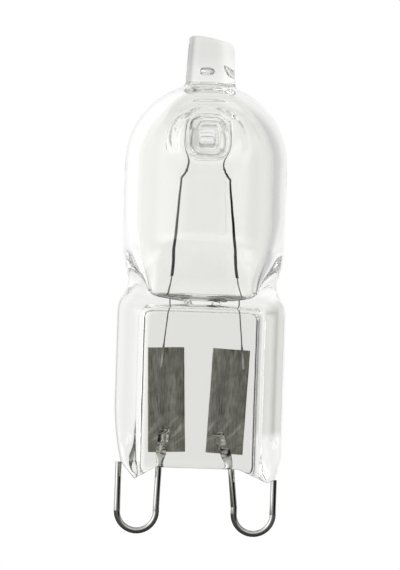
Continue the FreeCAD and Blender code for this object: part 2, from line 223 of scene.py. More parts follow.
def exhaust_tip(x, y, z):
    """The stub of the exhaust tube, ended by a slope and a short flat."""
    stub = np.hypot(x - TIP_X, y) - (TIP_R - TIP_TAPER * (z - TIP_R_Z))
    flats = smooth_max(stub, np.abs(y) - TIP_HALF_T, FLAT_ROUND)
    slanting = (x - SLANT_X) * math.sin(SLANT) + (z - SLANT_Z) * math.cos(SLANT)
    ends = np.maximum(smooth_max(slanting, z - TIP_TOP_Z, SLANT_ROUND), TIP_LOW_Z - z)
    return smooth_max(flats, ends, TIP_ROUND)


# Each bubble: middle across and up, half size across, deep and up, and lean in degrees
TIP_BUBBLES = [
    (-0.15, 30.5, 0.62, 0.5, 0.36, 0),
    (1.3, 30.5, 0.2, 0.4, 0.62, 26),
]


def tip_bubbles(x, y, z):
    """What is left of the exhaust bore in the stub: two flattened bubbles in the quartz."""
    nearest = np.full(x.shape, 1e9)
    for centre_x, centre_z, wide, deep, tall, lean in TIP_BUBBLES:
        cosine, sine = math.cos(math.radians(lean)), math.sin(math.radians(lean))
        across = cosine * (x - centre_x) + sine * (z - centre_z)
        up = cosine * (z - centre_z) - sine * (x - centre_x)
        ball = np.sqrt((across / wide) ** 2 + (y / deep) ** 2 + (up / tall) ** 2) - 1
        nearest = np.minimum(nearest, ball * min(wide, deep, tall))
    return nearest


# %% [markdown]
# ## The dents and the gas space
# Two dents, pushed into the dome from the front and back, meet as a bar of quartz that carries the
# filament. Seen from the front they act as small lenses, so their form decides how the bar and the
# filament behind them look. The wells are narrower than in CAD, because the filament is then seen
# where the photograph shows it, and the wall grows evenly from the wells to the tube, because a
# sudden change in it would break the filament's image. The gas space is the dented body a wall's
# thickness further in. It ends above the foot in a round trough that sags a little in the middle.

# %% The dents and the bar between them
BRIDGE_Z, POST_R, POST_HALF_L, POST_ROUND = 25.3, 1.25, 0.8, 0.2
DENT_HALF_W, DENT_HALF_H, DENT_CORNER = 0.75, 0.85, 0.3
DENT_FLOOR_Y, DENT_FLOOR_ROUND, DENT_OPENS, DENT_MOUTH = 0.4, 0.25, 1.5, 1.6
LIP_R, LIP_W, LIP_H, LIP_UNEVEN, LIP_SQUASH = 2.85, 0.16, 0.12, 0.04, 1.15


def dent(x, y, z):
    """Both dents: wells with rounded corners that grow taller on the way out from their floors."""
    depth, side, rise = np.abs(y), np.abs(x), np.abs(z - BRIDGE_Z)
    opened = np.clip((depth - DENT_FLOOR_Y) / DENT_OPENS, 0, 1)
    tall = DENT_HALF_H * np.sqrt(np.maximum(1 - (1 - opened) ** 2, 0.02))
    over, above = side - DENT_HALF_W + DENT_CORNER, rise - tall + DENT_CORNER
    corner = np.hypot(np.maximum(over, 0), np.maximum(above, 0))
    section = corner + np.minimum(np.maximum(over, above), 0) - DENT_CORNER
    return smooth_max(section, DENT_FLOOR_Y - depth, DENT_FLOOR_ROUND)


def lip(x, y, z):
    """The low ridge pushed up round the upper corners of a dent's mouth, higher on the left."""
    around = np.hypot(x, LIP_SQUASH * (z - BRIDGE_Z))
    height = LIP_H - LIP_UNEVEN * np.sign(x)
    ridge = height * np.exp(-((around - LIP_R) / LIP_W) ** 2)
    return ridge * ease(np.abs(x), 0.9, 2.2) * ease(z, 24.2, 25.0) * ease(np.abs(y), 3.0, 4.0)


def post(x, y, z):
    """The round bar of quartz that the filament hangs over."""
    return smooth_max(np.hypot(x, z - BRIDGE_Z) - POST_R, np.abs(y) - POST_HALF_L, POST_ROUND)


# %% The gas space
TUBE_WALL, DENT_WALL, WALL_START, WALL_GROWTH = 1.0, 0.55, 0.3, 2.1
CROWN_Z, CROWN_GROWTH = 26.6, 0.6
FLOOR_Z, FLOOR_HALF_W, FLOOR_SAG, FLOOR_CURVE = 13.05, 4.4, 0.25, 0.03
FLARE_ACROSS, FLARE_UP, FLARE_ROUND = 0.91, 0.415, 2.0
TROUGH_MIDDLE, TROUGH_ENDS = 1.5, 0.6


def gas_space(x, y, z, pushed_in):
    """The hollow: its wall is thin at the dents and grows to the tube's, sooner near the crown."""
    crown = CROWN_GROWTH * np.maximum(z - CROWN_Z, 0)
    away = np.clip((pushed_in - WALL_START + crown) / WALL_GROWTH, 0, 1)
    wall = DENT_WALL + (TUBE_WALL - DENT_WALL) * away ** 3 * (10 - 15 * away + 6 * away ** 2)
    hollow = smooth_max(body(x, y, z), -pushed_in, DENT_MOUTH) + wall
    flare = (np.abs(x) - FLOOR_HALF_W) * FLARE_ACROSS - (z - FLOOR_Z) * FLARE_UP
    floor = FLOOR_Z - FLOOR_SAG + FLOOR_CURVE * x * x
    trough = TROUGH_MIDDLE + (TROUGH_ENDS - TROUGH_MIDDLE) * ease(np.abs(x), 2.4, 3.8)
    return smooth_max(smooth_max(hollow, flare, FLARE_ROUND), floor - z, trough)


# %% The whole envelope
TIP_FILLET, GAS_ROUND, POST_FILLET = 0.35, 0.25, 0.3
RIPPLE_TUBE, RIPPLE_FOOT, RIPPLE_TOP_Z, RIPPLE_FADE = 0.002, 0.006, 14.5, 2


def ripple(x, y, z):
    """The faint waves that the jaws leave in the quartz, between -1 and 1."""
    wave = np.sin(2.1 * x + 0.6 * z + 0.7) * np.sin(1.3 * z - 0.5 * x)
    return 0.6 * wave + 0.4 * np.sin(3.7 * x - 1.1 * z + 1.9 * y) * np.cos(2.3 * z + 0.8 * y)


def quartz(x, y, z):
    """Signed distance to the quartz in millimetres, negative inside the glass."""
    pushed_in = dent(x, y, z)
    outside = smooth_min(pressed_body(x, y, z), exhaust_tip(x, y, z), TIP_FILLET)
    outside = smooth_max(outside, -pushed_in, DENT_MOUTH) - lip(x, y, z)
    glass = smooth_max(outside, -gas_space(x, y, z, pushed_in), GAS_ROUND)
    glass = smooth_min(glass, smooth_max(post(x, y, z), -pushed_in, POST_ROUND), POST_FILLET)
    glass = np.maximum(glass, -tip_bubbles(x, y, z))
    pressed = np.clip((RIPPLE_TOP_Z - z) / RIPPLE_FADE, 0, 1)
    return glass + ripple(x, y, z) * (RIPPLE_TUBE + RIPPLE_FOOT * pressed)


# %% [markdown]
# ## From the field to a mesh
# A surface net puts one point in each grid cell that the surface crosses and a quad round each
# grid edge that it cuts. The points are then slid along the field's slope onto the true surface,
# and the slope also gives each point an exact normal. Glass needs that: it bends light by its
# normals, and the facets of a plain mesh would show as a net of lines.

# %% Surface net
CORNERS = [(i, j, k) for i in (0, 1) for j in (0, 1) for k in (0, 1)]
EDGES = [
    (a, b) for a in CORNERS for b in CORNERS
    if a < b and sum(abs(p - q) for p, q in zip(a, b)) == 1
]


def net_points(field):
    """Cells that the surface crosses, and in each the mean of the points where it cuts the edges."""
    size = [n - 1 for n in field.shape]
    corner = {c: field[tuple(slice(c[i], c[i] + size[i]) for i in range(3))] for c in CORNERS}
    below = sum((corner[c] < 0).astype(np.int8) for c in CORNERS)
    cells = np.argwhere((below > 0) & (below < 8))
    total, hits = np.zeros((len(cells), 3)), np.zeros((len(cells), 1))
    for a, b in EDGES:
        start, end = corner[a][tuple(cells.T)], corner[b][tuple(cells.T)]
        cut = (start < 0) != (end < 0)
        share = np.where(cut, start / np.where(cut, start - end, 1), 0)[:, None]
        point = np.array(a) + share * (np.array(b) - np.array(a))
        total += np.where(cut[:, None], point, 0)
        hits += cut[:, None]
    return cells, cells + total / hits


def net_quads(field, cells):
    """One quad round each grid edge that the surface cuts, turned to face out of the glass."""
    number = np.full([n - 1 for n in field.shape], -1)
    number[tuple(cells.T)] = np.arange(len(cells))
    inside = field < 0
    quads = []
    for axis in range(3):
        u, w = (axis + 1) % 3, (axis + 2) % 3
        first = np.take(inside, range(field.shape[axis] - 1), axis)
        second = np.take(inside, range(1, field.shape[axis]), axis)
        at = np.argwhere(first != second)
        at = at[(at[:, u] > 0) & (at[:, w] > 0)]
        leaving = first[tuple(at.T)]
        ring = []
        for du, dw in ((1, 1), (0, 1), (0, 0), (1, 0)):
            cell = at.copy()
            cell[:, u] -= du
            cell[:, w] -= dw
            ring.append(number[tuple(cell.T)])
        ring = np.stack(ring, 1)
        quads.append(np.where(leaving[:, None], ring, ring[:, ::-1]))
    return np.concatenate(quads)


# %% Envelope mesh
NET_STEP, NET_LOW, NET_HIGH = 0.165, (-7.0, -6.8, -1.6), (7.0, 6.8, 34.0)


def slope(distance, points, reach=0.02):
    """The field's gradient at some points."""
    columns = []
    for axis in range(3):
        shift = np.zeros(3)
        shift[axis] = reach
        ahead, behind = points + shift, points - shift
        columns.append((distance(*ahead.T) - distance(*behind.T)) / (2 * reach))
    return np.stack(columns, 1)


def skin(distance, low, high, step):
    """A closed mesh of the surface in a box, with a unit normal for each point."""
    axes = [np.arange(a, b + step, step) for a, b in zip(low, high)]
    field = distance(*np.meshgrid(*axes, indexing="ij"))
    cells, points = net_points(field)
    points = np.array(low) + points * step
    for _ in range(3):
        grade = slope(distance, points)
        move = distance(*points.T) / np.maximum((grade ** 2).sum(1), 0.1)
        points -= np.clip(move, -step, step)[:, None] * grade
    normals = slope(distance, points)
    normals /= np.linalg.norm(normals, axis=1)[:, None]
    return points, net_quads(field, cells), normals


points, quads, normals = skin(quartz, NET_LOW, NET_HIGH, NET_STEP)
envelope_mesh = bpy.data.meshes.new("quartz_envelope_skin")
envelope_mesh.from_pydata((points * MM).tolist(), [], quads.tolist())
envelope_mesh.shade_smooth()
envelope_mesh.normals_split_custom_set_from_vertices(normals.tolist())
print("envelope:", len(points), "points,", 2 * len(quads), "triangles")

# %% [markdown]
# ## Fused quartz
# Fused quartz is the clearest glass there is, with an index of refraction of 1.458. Fire-polished
# quartz is perfectly smooth, but drawing the tube leaves faint lengthwise streaks, and the pressed
# foot is slightly hammered. Both are far too fine for the mesh, so they are a weak bump, the
# streaks 0.5 mm apart and the hammering about 1 mm across. The colour is a trace off white,
# because a ray crosses several walls and loses a little in each. The pressed web, a band of the
# right flange and the end of the tip are painted a little greyer, as painted shade.

# %% Quartz material
quartz_material, tree, shader = new_material("fused quartz, fire polished")
shader.inputs["Transmission Weight"].default_value = 1.0
shader.inputs["IOR"].default_value = 1.458
shader.inputs["Roughness"].default_value = 0.0
place = add(tree, "ShaderNodeTexCoord")
drawn = add(
    tree, "ShaderNodeMapping", [("Vector", place, "Object")],
    [("Scale", (per(0.5), per(0.5), per(25 / 3)))],
)
streaks = add(
    tree, "ShaderNodeTexNoise", [("Vector", drawn, "Vector")], [("Scale", 1.0), ("Detail", 2.0)]
)
hammer = add(
    tree, "ShaderNodeTexNoise", [("Vector", place, "Object")], [("Scale", per(1.0)), ("Detail", 1.0)]
)
both = add(tree, "ShaderNodeMath", [(0, streaks, "Fac"), (1, hammer, "Fac")], operation="ADD")
bump = add(
    tree, "ShaderNodeBump", [("Height", both, "Value")], [("Strength", 0.01), ("Distance", 0.05 * MM)]
)
tree.links.new(bump.outputs["Normal"], shader.inputs["Normal"])

# %% Quartz tint, with painted shade on the web and the tip
spot = add(tree, "ShaderNodeSeparateXYZ", [("Vector", place, "Object")])
aside = add(tree, "ShaderNodeMath", [(0, spot, "X")], operation="ABSOLUTE")
in_web = add(
    tree, "ShaderNodeMapRange", [("Value", aside, "Value")],
    [("From Min", 4.2 * MM), ("From Max", 4.7 * MM), ("To Min", 1.0), ("To Max", 0.0)],
)
in_foot = add(
    tree, "ShaderNodeMapRange", [("Value", spot, "Z")],
    [("From Min", 12.2 * MM), ("From Max", 12.8 * MM), ("To Min", 1.0), ("To Max", 0.0)],
)
web = add(tree, "ShaderNodeMath", [(0, in_web, "Result"), (1, in_foot, "Result")], operation="MULTIPLY")
tip_end = add(
    tree, "ShaderNodeMapRange", [("Value", spot, "Z")],
    [("From Min", 29.8 * MM), ("From Max", 31.8 * MM)],
)
# Painted shade: the web and the end of the tip get a greyer colour than the rest of the quartz.
painted_shade_web_tip = add(tree, "ShaderNodeMath", [(0, web, "Value"), (1, tip_end, "Result")], operation="MAXIMUM")
tint_with_painted_shade = add(
    tree, "ShaderNodeMix", [("Factor", painted_shade_web_tip, "Value")],
    [("A", linear("FCFCFA")), ("B", linear("EEEEEB"))], data_type="RGBA",
)

# %% Painted shade on the right flange
off = add(tree, "ShaderNodeMath", [(0, spot, "X")], [(1, 5.32 * MM)], operation="SUBTRACT")
off = add(tree, "ShaderNodeMath", [(0, off, "Value")], operation="ABSOLUTE")
in_band = add(
    tree, "ShaderNodeMapRange", [("Value", off, "Value")],
    [("From Min", 0.4 * MM), ("From Max", 0.6 * MM), ("To Min", 1.0), ("To Max", 0.0)],
)
over_dimple = add(
    tree, "ShaderNodeMapRange", [("Value", spot, "Z")], [("From Min", 2.4 * MM), ("From Max", 3.0 * MM)]
)
painted_shade_band = add(tree, "ShaderNodeMath", [(0, in_band, "Result"), (1, in_foot, "Result")], operation="MULTIPLY")
painted_shade_band = add(tree, "ShaderNodeMath", [(0, painted_shade_band, "Value"), (1, over_dimple, "Result")], operation="MULTIPLY")
# Painted shade: a grey band down the right flange, above the dimple and inside the foot.
tint_with_painted_shade = add(
    tree, "ShaderNodeMix", [("Factor", painted_shade_band, "Value"), ("A", tint_with_painted_shade, "Result")],
    [("B", linear("CDCDC8"))], data_type="RGBA",
)
tree.links.new(tint_with_painted_shade.outputs["Result"], shader.inputs["Base Color"])

# %% Envelope piece
envelope = show("quartz_envelope_glass", envelope_mesh, quartz_material)
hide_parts("quartz_envelope")
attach(envelope, "root")
print(envelope.name, "finished as", quartz_material.name)

# %% [markdown]
# ## The filament
# The filament is a fine tungsten wire wound into a close coil, and the coil is hung over the bridge
# like a necklace. It repeats along a path, so Geometry Nodes make it: a long line is laid along the
# path, each of its points is swung round the path, and a thin round section follows it. The real
# turns are about 0.06 mm apart; here they are 0.1 mm on average, so that they still show in the
# picture. They are closer on the legs, where the coil is wide, and more open over the bridge, where
# it is pulled thin. Drawn tungsten is a dark grey metal, satin and a little uneven after its firing.

# %% The filament's path
COIL_Y, COIL_R, COIL_TOP_R, COIL_WIRE_R, COIL_PITCH = 0.05, 0.095, 0.06, 0.035, 0.1
LOOP_R, LOOP_STEPS = 1.45, 24


def coil_path():
    """The path in millimetres: up one leg, in at the knee, over the bridge and down again."""
    left = [(-2.335, 15.08), (-1.87, 22.3), (-LOOP_R, 22.9), (-LOOP_R, BRIDGE_Z)]
    right = [(LOOP_R, BRIDGE_Z), (LOOP_R, 22.9), (1.87, 22.3), (2.626, 15.08)]
    turn = [math.pi - math.pi * i / LOOP_STEPS for i in range(1, LOOP_STEPS)]
    over = [(LOOP_R * math.cos(a), BRIDGE_Z + LOOP_R * math.sin(a)) for a in turn]
    return [(x, COIL_Y, z) for x, z in left + over + right]


path_points = coil_path()
path_length = sum(math.dist(p, q) for p, q in zip(path_points, path_points[1:]))
coil_turns = round(path_length / COIL_PITCH)
path_curve = bpy.data.curves.new("filament_path", "CURVE")
path_curve.dimensions = "3D"
path_spline = path_curve.splines.new("POLY")
path_spline.points.add(len(path_points) - 1)
for spot, p in zip(path_spline.points, path_points):
    spot.co = (p[0] * MM, p[1] * MM, p[2] * MM, 1)
print("filament: path", round(path_length, 2), "mm,", coil_turns, "turns")

# %% Tungsten
tungsten, tree, shader = new_material("tungsten, drawn and coiled")
shader.inputs["Metallic"].default_value = 1.0
shader.inputs["Roughness"].default_value = 0.42
place = add(tree, "ShaderNodeTexCoord")
soot = add(
    tree, "ShaderNodeTexNoise", [("Vector", place, "Object")], [("Scale", per(0.4)), ("Detail", 3.0)]
)
tone = add(
    tree, "ShaderNodeMix", [("Factor", soot, "Fac")],
    [("A", linear("262628")), ("B", linear("444446"))], data_type="RGBA",
)
tree.links.new(tone.outputs["Result"], shader.inputs["Base Color"])
print("material:", tungsten.name)

# %% The coil's inputs
coil_tree = bpy.data.node_groups.new("close_coil", "GeometryNodeTree")
coil_tree.interface.new_socket("Geometry", in_out="INPUT", socket_type="NodeSocketGeometry")
coil_tree.interface.new_socket("Geometry", in_out="OUTPUT", socket_type="NodeSocketGeometry")
coil_inputs = {
    name: coil_tree.interface.new_socket(name, in_out="INPUT", socket_type=kind)
    for name, kind in (
        ("Turns", "NodeSocketInt"), ("Steps", "NodeSocketInt"), ("Coil Radius", "NodeSocketFloat"),
        ("Wire Radius", "NodeSocketFloat"), ("Finish", "NodeSocketMaterial"),
    )
}
given = add(coil_tree, "NodeGroupInput")

# %% A line with a few points for each turn, and where each point lies on the path
count = add(
    coil_tree, "ShaderNodeMath", [(0, given, "Turns"), (1, given, "Steps")], operation="MULTIPLY"
)
line = add(coil_tree, "GeometryNodeCurvePrimitiveLine")
thread = add(
    coil_tree, "GeometryNodeResampleCurve", [("Curve", line, "Curve"), ("Count", count, "Value")]
)
along = add(coil_tree, "GeometryNodeSplineParameter")
spot = add(
    coil_tree, "GeometryNodeSampleCurve",
    [("Curves", given, "Geometry"), ("Factor", along, "Factor")], mode="FACTOR",
)

# %% The angle of each point round the path, with the turns gathered on the legs
GATHERED = 0.055
wave = add(
    coil_tree, "ShaderNodeMath", [(0, along, "Factor")], [(1, 2 * math.pi)], operation="MULTIPLY"
)
wave = add(coil_tree, "ShaderNodeMath", [(0, wave, "Value")], operation="SINE")
dense = add(
    coil_tree, "ShaderNodeMath", [(0, wave, "Value"), (2, along, "Factor")], [(1, GATHERED)],
    operation="MULTIPLY_ADD",
)
angle = add(
    coil_tree, "ShaderNodeMath", [(0, dense, "Value"), (1, given, "Turns")], operation="MULTIPLY"
)
angle = add(
    coil_tree, "ShaderNodeMath", [(0, angle, "Value")], [(1, 2 * math.pi)], operation="MULTIPLY"
)
sine = add(coil_tree, "ShaderNodeMath", [(0, angle, "Value")], operation="SINE")
cosine = add(coil_tree, "ShaderNodeMath", [(0, angle, "Value")], operation="COSINE")

# %% The swing of each point, smaller over the bridge
across = add(
    coil_tree, "ShaderNodeVectorMath", [(0, spot, "Tangent")], [(1, (0, 1, 0))],
    operation="CROSS_PRODUCT",
)
in_plane = add(
    coil_tree, "ShaderNodeVectorMath", [("Vector", across, "Vector"), ("Scale", cosine, "Value")],
    operation="SCALE",
)
out_of_plane = add(coil_tree, "ShaderNodeCombineXYZ", [("Y", sine, "Value")])
swing = add(
    coil_tree, "ShaderNodeVectorMath", [(0, in_plane, "Vector"), (1, out_of_plane, "Vector")],
    operation="ADD",
)
from_top = add(coil_tree, "ShaderNodeMath", [(0, along, "Factor")], [(1, 0.5)], operation="SUBTRACT")
from_top = add(coil_tree, "ShaderNodeMath", [(0, from_top, "Value")], operation="ABSOLUTE")
radius = add(
    coil_tree, "ShaderNodeMapRange", [("Value", from_top, "Value"), ("To Max", given, "Coil Radius")],
    [("From Min", 0.22), ("From Max", 0.4), ("To Min", COIL_TOP_R * MM)],
)
swing = add(
    coil_tree, "ShaderNodeVectorMath", [("Vector", swing, "Vector"), ("Scale", radius, "Result")],
    operation="SCALE",
)

# %% The wire along the swung points
wound = add(
    coil_tree, "GeometryNodeSetPosition",
    [("Geometry", thread, "Curve"), ("Position", spot, "Position"), ("Offset", swing, "Vector")],
)
section = add(
    coil_tree, "GeometryNodeCurvePrimitiveCircle", [("Radius", given, "Wire Radius")],
    [("Resolution", 6)],
)
wire = add(
    coil_tree, "GeometryNodeCurveToMesh",
    [("Curve", wound, "Geometry"), ("Profile Curve", section, "Curve")], [("Fill Caps", True)],
)
real = add(coil_tree, "GeometryNodeRealizeInstances", [("Geometry", wire, "Mesh")])
finish = add(
    coil_tree, "GeometryNodeSetMaterial", [("Geometry", real, "Geometry"), ("Material", given, "Finish")]
)
add(coil_tree, "NodeGroupOutput", [("Geometry", finish, "Geometry")])
print("coil tree:", len(coil_tree.nodes), "nodes")


# %% Filament piece
def wind(path, name, **sizes):
    """Winds a coil along a curve with the node tree and returns it as a plain mesh."""
    holder = bpy.data.objects.new(name + "_path", path)
    bpy.context.scene.collection.objects.link(holder)
    modifier = holder.modifiers.new("coil", "NODES")
    modifier.node_group = coil_tree
    for label, value in sizes.items():
        modifier[coil_inputs[label.replace("_", " ")].identifier] = value
    ready = holder.evaluated_get(bpy.context.evaluated_depsgraph_get())
    mesh = bpy.data.meshes.new_from_object(ready)
    holder.modifiers.remove(modifier)
    bpy.data.objects.remove(holder)
    mesh.shade_smooth()
    return mesh


coil_mesh = wind(
    path_curve, "filament", Turns=coil_turns, Steps=12, Coil_Radius=COIL_R * MM,
    Wire_Radius=COIL_WIRE_R * MM, Finish=tungsten,
)
filament = show("filament_coil", coil_mesh, tungsten)
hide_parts("filament")
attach(filament, "root")
print("filament:", len(coil_mesh.polygons), "faces")

# %% [markdown]
# ## Sealing foils
# The foils are rolled molybdenum a few hundredths of a millimetre thick, with feathered edges. The
# press leaves them slightly crumpled, and rolling leaves streaks along them, so they look dark and
# satin through the quartz. Each is a thin closed plate with a fine grid, so that the creases are
# real shape. Its own UV map, in millimetres, carries the streaks along the foil as it leans: they
# are about 0.1 mm wide and 1.25 mm long, over clouds of about 1.25 mm. A flat plate with a bump
# would be simpler, but its creases would vanish when it is seen from the side.

# %% Foil mesh
FOIL_W, FOIL_L, FOIL_T, FOIL_EDGE_T, FOIL_FEATHER = 2.85, 8.05, 0.04, 0.012, 0.18
FOIL_FRONT_Y, FOIL_LOW_Z, FOIL_LEAN = 0.1, 1.17, math.radians(2.3)
LONG_CREASE, SHORT_CREASE, FAN_CREASE = 0.012, 0.008, 0.035


def crease(u, w, seed):
    """How far the foil is pushed back, in millimetres, at a place across and along it."""
    long = np.sin(5.1 * u + 0.4 * np.sin(0.9 * w + seed) + seed)
    short = np.sin(3.0 * u + 4.2 * w + 2 * seed) * np.sin(1.7 * w - 2.2 * u)
    fan = np.exp(-((w + 2.5) / 1.1) ** 2) * np.sin(6.0 * u - 7.0 * w + seed + np.sin(3 * w))
    return LONG_CREASE * (1 + long) + SHORT_CREASE * (1 + short) + FAN_CREASE * (1 + fan)


def foil_mesh(name, sign, centre_x, seed, columns=40, rows=110):
    """A creased plate that leans to one side, closed all round, with its flat UV map."""
    across = np.linspace(-FOIL_W / 2, FOIL_W / 2, columns)
    up = np.linspace(-FOIL_L / 2, FOIL_L / 2, rows)
    u, w = np.meshgrid(across, up)
    inset = np.clip((FOIL_W / 2 - np.abs(u)) / FOIL_FEATHER, 0, 1)
    half = (FOIL_EDGE_T + (FOIL_T - FOIL_EDGE_T) * inset) / 2
    middle = FOIL_FRONT_Y + FOIL_T / 2 + crease(u, w, seed)
    lean = sign * FOIL_LEAN
    x = centre_x + u * math.cos(lean) + w * math.sin(lean)
    z = FOIL_LOW_Z + FOIL_L / 2 + w * math.cos(lean) - u * math.sin(lean)
    front = np.stack([x, middle - half, z], -1).reshape(-1, 3)
    back = np.stack([x, middle + half, z], -1).reshape(-1, 3)
    index = np.arange(rows * columns).reshape(rows, columns)
    corners = [index[:-1, :-1], index[:-1, 1:], index[1:, 1:], index[1:, :-1]]
    face = np.stack(corners, -1).reshape(-1, 4)
    rim = np.concatenate([index[0, :], index[1:, -1], index[-1, -2::-1], index[-2:0:-1, 0]])
    around = np.roll(rim, -1)
    shift = rows * columns
    sides = np.stack([around, rim, rim + shift, around + shift], -1)
    faces = np.concatenate([face, face[:, ::-1] + shift, sides])
    mesh = bpy.data.meshes.new(name)
    mesh.from_pydata((np.concatenate([front, back]) * MM).tolist(), [], faces.tolist())
    flat = np.tile(np.stack([u + FOIL_W / 2, w + FOIL_L / 2], -1).reshape(-1, 2), (2, 1))
    corner = np.empty(len(mesh.loops), np.int32)
    mesh.loops.foreach_get("vertex_index", corner)
    mesh.uv_layers.new(name="foil_mm").data.foreach_set("uv", flat[corner].ravel())
    mesh.shade_smooth()
    return mesh


# %% Molybdenum foil
foil_material, tree, shader = new_material("molybdenum foil, rolled")
shader.inputs["Metallic"].default_value = 1.0
sheet = add(tree, "ShaderNodeUVMap", uv_map="foil_mm")
rolled = add(tree, "ShaderNodeMapping", [("Vector", sheet, "UV")], [("Scale", (6.0, 0.5, 1.0))])
streak = add(
    tree, "ShaderNodeTexNoise", [("Vector", rolled, "Vector")],
    [("Scale", 1.6), ("Detail", 5.0), ("Roughness", 0.7)],
)
cloud = add(tree, "ShaderNodeTexNoise", [("Vector", sheet, "UV")], [("Scale", 0.8), ("Detail", 2.0)])
mixed = add(
    tree, "ShaderNodeMath", [(0, cloud, "Fac"), (2, streak, "Fac")], [(1, 0.5)],
    operation="MULTIPLY_ADD",
)
spread = add(
    tree, "ShaderNodeMapRange", [("Value", mixed, "Value")], [("From Min", 0.5), ("From Max", 1.0)]
)
tone = add(
    tree, "ShaderNodeMix", [("Factor", spread, "Result")],
    [("A", linear("5C5C54")), ("B", linear("BAB8AC"))], data_type="RGBA",
)
tree.links.new(tone.outputs["Result"], shader.inputs["Base Color"])
gloss = add(
    tree, "ShaderNodeMapRange", [("Value", streak, "Fac")], [("To Min", 0.3), ("To Max", 0.55)]
)
tree.links.new(gloss.outputs["Result"], shader.inputs["Roughness"])
grain = add(
    tree, "ShaderNodeBump", [("Height", streak, "Fac")], [("Strength", 0.4), ("Distance", 0.02 * MM)]
)
tree.links.new(grain.outputs["Normal"], shader.inputs["Normal"])

# %% Foil pieces
for side, sign, centre_x, seed in (("left", -1, -2.5, 0.4), ("right", 1, 2.25, 2.3)):
    name = side + "_foil_sheet"
    foil = show(name, foil_mesh(name, sign, centre_x, seed), foil_material)
    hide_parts(side + "_seal_foil")
    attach(foil, "root")
    print(foil.name, len(foil.data.polygons), "faces")

# %% [markdown]
# ## Wires
# The inner leads and the looped pins already have their true shape in CAD, flattened ends and all,
# so they stay as they are and only get a finish. Drawn wire has fine lines along its length, which
# spread its highlights a little; the lines here are about 0.04 mm wide. Above a height a wire has
# another tone: on the pins it is painted shade over their ends in the foot, and on the leads the
# lighter part below it is a painted highlight where they lie on the foils. The pins' flattened ends
# are beaten as well.

# %% Drawn wire
def drawn_wire(name, dark, light, upper, smooth, rough, change_z, beaten_deep):
    """Wire with lengthwise lines, a painted-light tone above a height, and beaten there if wanted."""
    material, tree, shader = new_material(name)
    shader.inputs["Metallic"].default_value = 1.0
    place = add(tree, "ShaderNodeTexCoord")
    stretch = add(
        tree, "ShaderNodeMapping", [("Vector", place, "Object")],
        [("Scale", (per(0.04), per(0.04), per(10 / 9)))],
    )
    lines = add(
        tree, "ShaderNodeTexNoise", [("Vector", stretch, "Vector")], [("Scale", 1.0), ("Detail", 2.0)]
    )
    gloss = add(
        tree, "ShaderNodeMapRange", [("Value", lines, "Fac")], [("To Min", smooth), ("To Max", rough)]
    )
    tree.links.new(gloss.outputs["Result"], shader.inputs["Roughness"])
    stain = add(
        tree, "ShaderNodeTexNoise", [("Vector", place, "Object")], [("Scale", per(10 / 7)), ("Detail", 3.0)]
    )
    tone = add(
        tree, "ShaderNodeMix", [("Factor", stain, "Fac")],
        [("A", linear(dark)), ("B", linear(light))], data_type="RGBA",
    )
    parts = add(tree, "ShaderNodeSeparateXYZ", [("Vector", place, "Object")])
    # Above change_z the tone turns to the upper colour. This is painted light: painted shade on the pins'
    # ends in the foot, and on the leads the lighter part below is a painted highlight.
    upper_part = add(
        tree, "ShaderNodeMapRange", [("Value", parts, "Z")],
        [("From Min", change_z * MM), ("From Max", (change_z + 1) * MM)],
    )
    tone_with_painted_light = add(
        tree, "ShaderNodeMix", [("Factor", upper_part, "Result"), ("A", tone, "Result")],
        [("B", linear(upper))], data_type="RGBA",
    )
    tree.links.new(tone_with_painted_light.outputs["Result"], shader.inputs["Base Color"])
    blows = add(
        tree, "ShaderNodeTexNoise", [("Vector", place, "Object")], [("Scale", per(0.5)), ("Detail", 0.0)]
    )
    beaten = add(
        tree, "ShaderNodeBump", [("Height", blows, "Fac"), ("Strength", upper_part, "Result")],
        [("Distance", beaten_deep * MM)],
    )
    tree.links.new(beaten.outputs["Normal"], shader.inputs["Normal"])
    return material


# %% Wire finishes
# The pins' upper colour is painted shade. The leads' light colours below 8.4 mm are a painted highlight
# where they lie on the foils.
pin_material = drawn_wire(
    "molybdenum pin wire, bright drawn", dark="C2C2BE", light="DCDCD8", upper="908F88",
    smooth=0.06, rough=0.13, change_z=0.6, beaten_deep=0.3,
)
lead_material = drawn_wire(
    "molybdenum lead wire, drawn", dark="DADAD6", light="F0F0EC", upper="7C7C79",
    smooth=0.2, rough=0.35, change_z=8.4, beaten_deep=0.0,
)
for node, material in (
    ("left_contact_pin", pin_material), ("right_contact_pin", pin_material),
    ("left_inner_lead", lead_material), ("right_inner_lead", lead_material),
):
    cad_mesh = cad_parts[node].data
    cad_mesh.materials.clear()
    cad_mesh.materials.append(material)
    print(node, "finished as", material.name)

# %% [markdown]
# ## The studio
# Clear glass is shown in bright field: a white backdrop fills the picture, and where the glass bends
# the view away from it, it turns grey, which draws the edges. The camera sees plain white. Rays that
# the glass or metal sends on see a room instead: a bright back wall, a front that is dim near the
# horizon, a window at the left in front, a dimmer right side, a dark corner at the right in front
# and less light straight up and down. A dark flag stands beside, above and below the lamp, across
# the line of sight. Matt things get an even fill. Because the world's look depends on the kind of
# ray, it isn't sampled as a lamp. A ray can cross many walls of quartz and would turn black at a
# low bounce limit, so the limits are raised.

